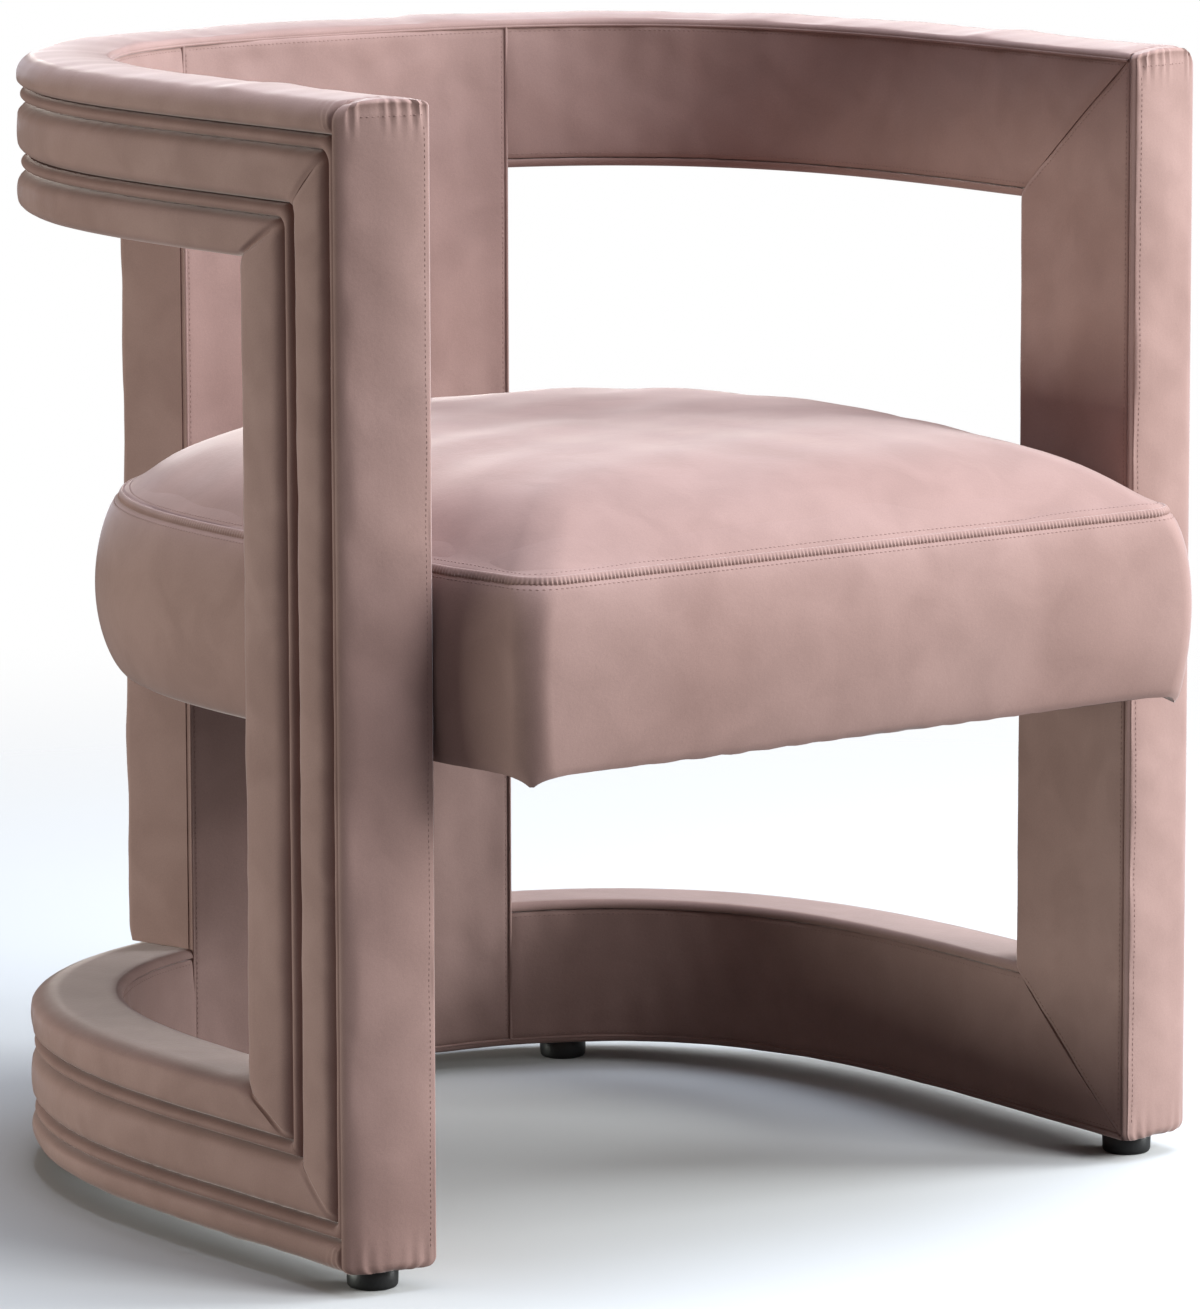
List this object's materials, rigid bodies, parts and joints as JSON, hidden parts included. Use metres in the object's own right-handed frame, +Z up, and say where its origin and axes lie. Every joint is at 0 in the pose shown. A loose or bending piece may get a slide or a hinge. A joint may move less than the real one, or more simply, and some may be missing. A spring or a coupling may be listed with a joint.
{
  "type": "barrel chair",
  "caption": "Upholstered barrel chair: U-shaped padded wall with a window on each side, channelled outer face, boxed crowned seat and low round feet.",
  "frame": {"origin": "on the floor, under the middle of the chair's width and depth", "axes": "+Z up, front of the chair towards -Y, +X across"},
  "size_m": [0.678, 0.6374, 0.72],
  "materials": {
    "velvet": "short-pile velvet, dusty rose",
    "velvet_welt": "short-pile velvet piping",
    "foam": "upholstery foam",
    "plywood": "raw plywood",
    "dust_cloth": "non-woven cloth",
    "black_plastic": "moulded, satin",
    "zinc_steel": "zinc plated"
  },
  "bodies": {
    "root": {"back_inner_pad": "velvet", "back_outer_pad": "velvet", "back_panel_core": "plywood", "bottom_edge_roll": "velvet", "bottom_inner_pad_left": "velvet", "bottom_inner_pad_right": "velvet", "bottom_inner_welt": "velvet_welt", "bottom_middle_roll": "velvet", "bottom_outer_welt": "velvet_welt", "bottom_rail_core": "plywood", "bottom_reveal_pad_left": "velvet", "bottom_reveal_pad_right": "velvet", "bottom_window_roll": "velvet", "foot_back_left": "black_plastic", "foot_back_right": "black_plastic", "foot_front_left": "black_plastic", "foot_front_right": "black_plastic", "foot_screw_back_left": "zinc_steel", "foot_screw_back_right": "zinc_steel", "foot_screw_front_left": "zinc_steel", "foot_screw_front_right": "zinc_steel", "post_core_left": "plywood", "post_core_right": "plywood", "post_front_pad_left": "velvet", "post_front_pad_right": "velvet", "post_inner_pad_left": "velvet", "post_inner_pad_right": "velvet", "post_inner_welt_left": "velvet_welt", "post_inner_welt_right": "velvet_welt", "post_middle_roll_left": "velvet", "post_middle_roll_right": "velvet", "post_outer_welt_left": "velvet_welt", "post_outer_welt_right": "velvet_welt", "post_reveal_pad_left": "velvet", "post_reveal_pad_right": "velvet", "post_window_roll_left": "velvet", "post_window_roll_right": "velvet", "seat_bolt_left_front": "zinc_steel", "seat_bolt_left_rear": "zinc_steel", "seat_bolt_right_front": "zinc_steel", "seat_bolt_right_rear": "zinc_steel", "seat_boxing": "velvet", "seat_deck": "plywood", "seat_dust_cover": "dust_cloth", "seat_foam": "foam", "seat_frame_back": "plywood", "seat_frame_front": "plywood", "seat_frame_left": "plywood", "seat_frame_right": "plywood", "seat_top_cover": "velvet", "top_edge_roll": "velvet", "top_inner_pad_left": "velvet", "top_inner_pad_right": "velvet", "top_inner_welt": "velvet_welt", "top_middle_roll": "velvet", "top_outer_welt": "velvet_welt", "top_rail_core": "plywood", "top_reveal_pad_left": "velvet", "top_reveal_pad_right": "velvet", "top_window_roll": "velvet"}
  },
  "joints": []
}
